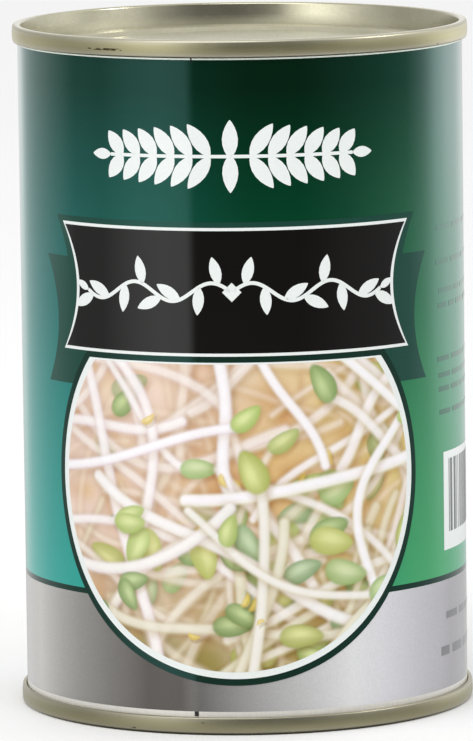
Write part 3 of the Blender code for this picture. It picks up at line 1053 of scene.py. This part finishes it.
class FOODCAN_OT_plaques(bpy.types.Operator):
    """Prints the plaque, its outline and the two shades behind it"""

    bl_idname = "foodcan.plaques"
    bl_label = "Plaques"

    def execute(self, context):
        label, inks = context.scene.can_label, context.scene.can_inks
        edge = label.outline / MM
        low, high = label.plaque_low / MM, label.plaque_high / MM
        width, dish = label.plaque_width / MM, label.plaque_dish / MM
        far = (label.far_width / MM, label.far_low / MM, label.far_high / MM, label.far_dish / MM)
        near = (width + label.shade_reach / MM, low - label.shade_drop / MM, label.shade_high / MM, dish)
        shade = ink_material("shade_ink", inks.shade, tint=GREEN_GLOSS)
        white, black = ink_material("white_ink", inks.white), ink_material("black_ink", inks.black)
        layers = (
            ("far_shade", 1, far, shade),
            ("near_shade", 2, near, shade),
            ("plaque_outline", 5, (width, low, high, dish), white),
            ("plaque_field", 6, (width - edge * 1.25, low + edge, high - edge, dish), black),
        )
        for name, layer, form, material in layers:
            shape = bmesh.new()
            dished_plaque(shape, *form)
            bmesh.ops.translate(shape, vec=(label.centre / MM, 0, 0), verts=shape.verts)
            film(name, shape, layer, material, sides=2)
        return {"FINISHED"}


class FOODCAN_OT_window(bpy.types.Operator):
    """Prints the round window's dark border and white rim"""

    bl_idname = "foodcan.window"
    bl_label = "Window Rings"

    def execute(self, context):
        label, inks = context.scene.can_label, context.scene.can_inks
        rim_radius = label.window_radius / MM + label.rim / MM
        overlap = label.overlap / MM
        border_top, rim_top = label.plaque_low / MM + overlap, label.window_top / MM + overlap
        rings = (
            ("window_border", 3, rim_radius + label.border / MM, border_top, inks.border, GREEN_GLOSS),
            ("window_rim", 4, rim_radius, rim_top, inks.white, PLAIN_GLOSS),
        )
        for name, layer, radius, high_z, colour, tint in rings:
            shape = bmesh.new()
            disc(shape, label.centre / MM, label.window_z / MM, radius, 256, high_z)
            film(name, shape, layer, ink_material(name + "_ink", colour, tint=tint), sides=2)
        return {"FINISHED"}


class FOODCAN_OT_picture(bpy.types.Operator):
    """Prints the picture of a heap of bean sprouts in both windows"""

    bl_idname = "foodcan.picture"
    bl_label = "Sprout Picture"

    def execute(self, context):
        scene = context.scene
        label, picture = scene.can_label, scene.can_picture
        shape = window_sheet(label, picture)
        flat = np.array([vert.co[:2] for vert in shape.verts]) - np.array((0.0, label.window_z / MM))
        colours = Heap(flat, picture.seed).paint(picture.stem_width / MM, picture.leaf_length / MM)
        values = np.hstack((colours, np.ones((len(colours), 1)))).astype(np.float32).ravel()
        step = label.ink_step / MM
        for vert in shape.verts:
            vert.co.x += label.centre / MM
            vert.co.z = (PICTURE_LAYER if vert.co.z > SHEET_BACK / 2 else PICTURE_LAYER - INK_FILL) * step
        material = picture_material()
        for name, turn in (("sprout_picture_front", 0.0), ("sprout_picture_back", math.pi)):
            copy = shape.copy()
            roll_up(copy, wall_radius(scene.can_sizes), turn)
            piece = finish_piece(name, copy, [material])
            layer = piece.data.attributes.new("ink", "FLOAT_COLOR", "POINT")
            layer.data.foreach_set("color", values)
        shape.free()
        return {"FINISHED"}


class FOODCAN_OT_ornaments(bpy.types.Operator):
    """Prints the leaf garland over the plaque and the vine on it"""

    bl_idname = "foodcan.ornaments"
    bl_label = "Ornaments"

    def execute(self, context):
        label, inks = context.scene.can_label, context.scene.can_inks
        centre = label.centre / MM
        white = ink_material("ornament_ink", inks.white)
        shape = bmesh.new()
        garland(shape, centre, label.garland_z / MM, label.garland_width / MM)
        film("leaf_garland", shape, 1, white, sides=2)
        shape = bmesh.new()
        middle = (label.plaque_low + label.plaque_high) / 2 / MM
        vine(shape, centre, middle, label.vine_width / MM)
        lozenge(shape, centre, middle, 1.1)
        film("leaf_vine", shape, 7, white, sides=2)
        return {"FINISHED"}


class FOODCAN_OT_small_print(bpy.types.Operator):
    """Prints the side panels: rows of plain bars, a bar pattern and a ruled table"""

    bl_idname = "foodcan.small_print"
    bl_label = "Small Print"

    def execute(self, context):
        inks = context.scene.can_inks
        draw = random.Random(BARS_SEED)
        green = ink_material("small_print_ink", inks.small_print, tint=GREEN_GLOSS)
        white = ink_material("patch_ink", inks.white)
        dark = ink_material("bar_ink", srgb("#5a6060")[:3])
        steel = ink_material("silver_band_ink", srgb("#7c7d80")[:3])

        shape = bmesh.new()
        for z in GREEN_ROWS:
            start = GREEN_ROWS_START + draw.uniform(0, GREEN_ROWS_RAGGED)
            row_of_bars(shape, draw, start, GREEN_ROWS_END, z, GREEN_ROWS_TALL, (2.5, 7.0), 1.0)
        film("small_print_bars", shape, 1, green)

        shape = bmesh.new()
        rectangle(shape, *PATCH)
        film("bar_pattern_patch", shape, 1, white)

        shape = bmesh.new()
        start, end = BAR_SPAN
        while start < end:
            width = draw.choice((0.3, 0.3, 0.6, 0.9))
            rectangle(shape, start, BAR_LOW, start + width, BAR_HIGH)
            start += width + draw.choice((0.35, 0.35, 0.7))
        film("bar_pattern", shape, 2, dark)

        shape = bmesh.new()
        for start, z, tall in BAND_ROWS:
            row_of_bars(shape, draw, start, BAND_ROWS_END, z, tall, (3.0, 8.0), 1.3)
        film("silver_band_bars", shape, 1, steel)

        shape = bmesh.new()
        for row in range(TABLE_ROWS):
            z = TABLE_LOW + row * TABLE_PITCH
            rectangle(shape, TABLE_LEFT, z, TABLE_RIGHT, z + TABLE_LINE)
        for side in TABLE_UPRIGHTS:
            rectangle(shape, side, TABLE_LOW + 0.35, side + TABLE_LINE, TABLE_HIGH)
        film("ruled_table", shape, 1, white)
        return {"FINISHED"}


class FOODCAN_OT_weld(bpy.types.Operator):
    """Makes the side weld on its unprinted margin, and the register marks at the plate's edges"""

    bl_idname = "foodcan.weld"
    bl_label = "Side Weld and Register Marks"

    def execute(self, context):
        sizes, label = context.scene.can_sizes, context.scene.can_label
        low = sizes.seam_length / MM + SEAM_CLEARANCE
        high = (sizes.height - sizes.seam_length) / MM - SEAM_CLEARANCE
        # The weld is greyer and duller than the bare strip that it runs in, because it was melted
        bare = bare_metal_material("bare_tinplate", "#c9c6bd", 0.3, 0.85)
        weld = bare_metal_material("resistance_weld", "#8d8a83", 0.4, 0.9)
        for name, layer, (left, right), material in (
            ("bare_margin", 1, MARGIN_SPAN, bare),
            ("side_weld", 2, WELD_SPAN, weld),
        ):
            shape = bmesh.new()
            rectangle(shape, left, low, right, high)
            film(name, shape, layer, material)
        shape = bmesh.new()
        rectangle(shape, LOWER_MARK[0], low, LOWER_MARK[1], label.lower_margin / MM)
        rectangle(shape, UPPER_MARK[0], label.upper_margin / MM - UPPER_MARK_REACH, UPPER_MARK[1], high)
        film("register_marks", shape, 1, ink_material("register_ink", srgb("#1b1a17")[:3]))
        return {"FINISHED"}


class FOODCAN_OT_stage(bpy.types.Operator):
    """Sets up the camera, the floor, the softbox and the light tent"""

    bl_idname = "foodcan.stage"
    bl_label = "Stage"

    def execute(self, context):
        stage = context.scene.can_stage
        context.scene.view_settings.view_transform = "Standard"
        self.make_camera(context, stage)
        self.make_floor(context)
        self.make_tent(context, stage)
        self.make_lights(context, stage)
        return {"FINISHED"}

    def make_camera(self, context, stage):
        """A long lens, a little above the can and looking down on it."""
        lens = bpy.data.cameras.new("camera")
        lens.sensor_width = SENSOR
        lens.lens = stage.focal_px / IMAGE_HEIGHT_PX * SENSOR
        camera = bpy.data.objects.new("camera", lens)
        aim = Euler((math.pi / 2 - stage.pitch, 0, stage.yaw)).to_matrix()
        turn = aim @ Matrix.Rotation(stage.roll, 3, "Z")
        camera.matrix_world = Matrix.Translation((0, -stage.distance, stage.camera_height)) @ turn.to_4x4()
        context.scene.collection.objects.link(camera)
        context.scene.camera = camera

    def make_floor(self, context):
        """A plain pale floor, kept out of the gloss."""
        shape = bmesh.new()
        bmesh.ops.create_grid(shape, x_segments=1, y_segments=1, size=FLOOR_REACH)
        floor = self.stage_piece(context, "floor", shape)
        material, _, shader = new_material("pale_floor")
        shader.inputs["Base Color"].default_value = srgb("#ffffff")
        shader.inputs["Roughness"].default_value = 0.9
        floor.data.materials.append(material)
        floor.visible_glossy = False

    def make_tent(self, context, stage):
        """A light tent whose cloth is lit unevenly, seen only in the can's gloss."""
        radius = stage.tent_radius
        shape = bmesh.new()
        bmesh.ops.create_cone(
            shape,
            cap_ends=False,
            segments=TENT_SEGMENTS,
            radius1=radius,
            radius2=radius,
            depth=TENT_DEPTH,
            matrix=Matrix.Translation((0, 0, TENT_MIDDLE)),
        )
        foot = Matrix.Translation((0, 0, TENT_MIDDLE - TENT_DEPTH / 2))
        bmesh.ops.create_circle(shape, cap_ends=True, segments=TENT_SEGMENTS, radius=radius, matrix=foot)
        tent = self.stage_piece(context, "light_tent", shape)
        tent.visible_camera = False
        tent.visible_diffuse = False
        tent.visible_shadow = False
        tent.data.materials.append(self.tent_cloth())

    def tent_cloth(self):
        """White cloth that glows by place round it and by height, so that the gloss shows a room's bright and dark."""
        material, tree, shader = new_material("tent_cloth")
        _, angle, up = round_and_up(tree)
        place = add(tree, "Math", angle, 1 / math.tau, 0.5, operation="MULTIPLY_ADD")
        height = add(tree, "Math", up, 1.0, operation="ADD")
        glow = add(tree, "ValToRGB", height, stops=greys((z + 1, level / TENT_GAIN) for z, level in TENT_FLOOR))
        front = add(tree, "MapRange", apart(tree, angle, FRONT_MIDDLE), *FRONT_FADE, FRONT_GAIN, 1.0)
        glow = add(tree, "VectorMath", glow, inputs={"Scale": front}, operation="SCALE")
        for levels, low, high in TENT_BANDS:
            stops = greys(((turn + 180) / 360, level / TENT_GAIN) for turn, level in levels)
            cloth = add(tree, "ValToRGB", place, stops=stops)
            share = add(tree, "MapRange", up, low, high)
            glow = add(tree, "Mix", share, out=2, inputs={6: glow, 7: cloth}, data_type="RGBA")
        light = add(tree, "Emission", glow, TENT_GAIN)
        tree.links.new(light, tree.nodes["Material Output"].inputs["Surface"])
        tree.nodes.remove(shader)
        return material

    def make_lights(self, context, stage):
        """Even light from all round, a large softbox overhead and a small lamp that puts a glint on the end."""
        world = bpy.data.worlds.new("studio")
        world.use_nodes = True
        sky = world.node_tree.nodes["Background"]
        sky.inputs["Color"].default_value = (1, 1, 1, 1)
        sky.inputs["Strength"].default_value = stage.ambient
        context.scene.world = world
        softbox = {"shape": "RECTANGLE", "size": 0.7, "size_y": 0.5, "energy": stage.key_power}
        self.make_lamp(context, "softbox", SOFTBOX_PLACE, SOFTBOX_TARGET, softbox)
        glint = {"shape": "DISK", "size": 0.12, "energy": stage.glint_power}
        self.make_lamp(context, "glint_lamp", GLINT_PLACE, GLINT_TARGET, glint).visible_diffuse = False

    def make_lamp(self, context, name, place, target, settings):
        """An area lamp turned towards a target."""
        lamp = bpy.data.lights.new(name, "AREA")
        for key, value in settings.items():
            setattr(lamp, key, value)
        piece = bpy.data.objects.new(name, lamp)
        place = Vector(place)
        aim = (Vector(target) - place).to_track_quat("-Z", "Y")
        piece.matrix_world = Matrix.Translation(place) @ aim.to_matrix().to_4x4()
        context.scene.collection.objects.link(piece)
        return piece

    def stage_piece(self, context, name, shape):
        """An object that belongs to the stage."""
        mesh = bpy.data.meshes.new(name)
        shape.to_mesh(mesh)
        shape.free()
        piece = bpy.data.objects.new(name, mesh)
        context.scene.collection.objects.link(piece)
        return piece


class FOODCAN_PT_pieces(bpy.types.Panel):
    """The can's pieces, in the order that they are made"""

    bl_label = "Food Can"
    bl_idname = "FOODCAN_PT_pieces"
    bl_space_type = "VIEW_3D"
    bl_region_type = "UI"
    bl_category = "Food Can"

    def draw(self, context):
        """A button for each piece, and under them the settings."""
        for maker in MAKERS:
            self.layout.operator(maker.bl_idname)
        for group in SETTINGS:
            box = self.layout.box()
            settings = getattr(context.scene, group)
            for name in settings.bl_rna.properties.keys():
                if name not in ("rna_type", "name"):
                    box.prop(settings, name)


SETTINGS = {
    "can_sizes": CanSizes,
    "can_label": LabelSizes,
    "can_inks": LabelInks,
    "can_picture": PictureSettings,
    "can_stage": StageSettings,
}
MAKERS = (
    FOODCAN_OT_stage,
    FOODCAN_OT_body,
    FOODCAN_OT_ends,
    FOODCAN_OT_inside,
    FOODCAN_OT_plaques,
    FOODCAN_OT_window,
    FOODCAN_OT_picture,
    FOODCAN_OT_ornaments,
    FOODCAN_OT_small_print,
    FOODCAN_OT_weld,
)


def register():
    """Registers the settings, the operators and the panel."""
    for name, group in SETTINGS.items():
        bpy.utils.register_class(group)
        setattr(bpy.types.Scene, name, PointerProperty(type=group))
    for cls in (*MAKERS, FOODCAN_PT_pieces):
        bpy.utils.register_class(cls)


def unregister():
    """Takes the settings, the operators and the panel out again."""
    for cls in (FOODCAN_PT_pieces, *reversed(MAKERS)):
        bpy.utils.unregister_class(cls)
    for name, group in SETTINGS.items():
        delattr(bpy.types.Scene, name)
        bpy.utils.unregister_class(group)


def main():
    """Makes every piece."""
    register()
    for maker in MAKERS:
        getattr(bpy.ops.foodcan, maker.bl_idname.split(".")[1])()


if __name__ == "__main__":
    main()
